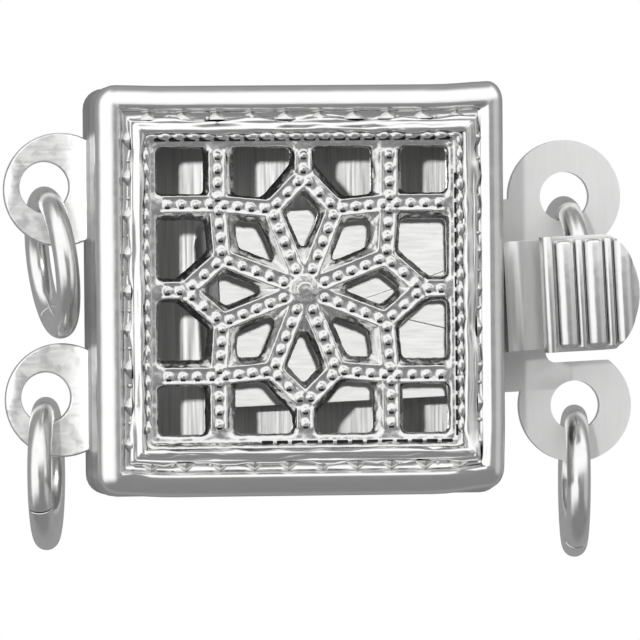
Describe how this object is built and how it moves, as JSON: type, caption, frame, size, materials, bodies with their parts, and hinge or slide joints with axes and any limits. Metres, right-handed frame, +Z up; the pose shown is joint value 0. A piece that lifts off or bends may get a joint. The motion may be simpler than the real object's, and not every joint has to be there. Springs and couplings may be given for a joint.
{
  "type": "multi-strand box clasp",
  "caption": "Square filigree box clasp for a multi-strand necklace or bracelet, with a spring tongue, ribbed thumb piece and strand eyelets on both sides.",
  "frame": {"origin": "centre of the box's flat back, where the worn clasp is held against the neck or wrist", "axes": "+X towards the tongue and thumb piece, +Y out of the flat back, +Z up as the rings hang; the filigree face looks along -Y"},
  "size_m": [0.0153, 0.0055, 0.0115],
  "materials": {
    "box_silver": "bright white metal, fine brushing inside",
    "cover_silver": "polished cast filigree, darker in its recesses",
    "tongue_silver": "rolled sheet, satin",
    "leaf_silver": "rolled sheet, long brushed streaks, polished thumb piece",
    "ring_silver": "polished drawn wire"
  },
  "bodies": {
    "box": {"box_shell": "box_silver", "filigree_cover": "cover_silver", "jump_ring_upper_left": "ring_silver", "jump_ring_lower_left": "ring_silver"},
    "tongue": {"tongue_plate": "tongue_silver", "jump_ring_upper_right": "ring_silver", "jump_ring_lower_right": "ring_silver"},
    "leaf": {"spring_leaf": "leaf_silver"}
  },
  "joints": [
    {"name": "tongue_slide", "type": "slide", "parent": "box", "child": "tongue", "axis": [0.999, 0, 0.0436], "range_m": [0, 0.008]},
    {"name": "leaf_press", "type": "hinge", "parent": "tongue", "child": "leaf", "pos_m": [-0.00176, -0.00095, -0.0005], "axis": [-0.0436, 0, 0.999], "range_deg": [0, 4], "stiffness_Nm_per_rad": 0.1}
  ]
}
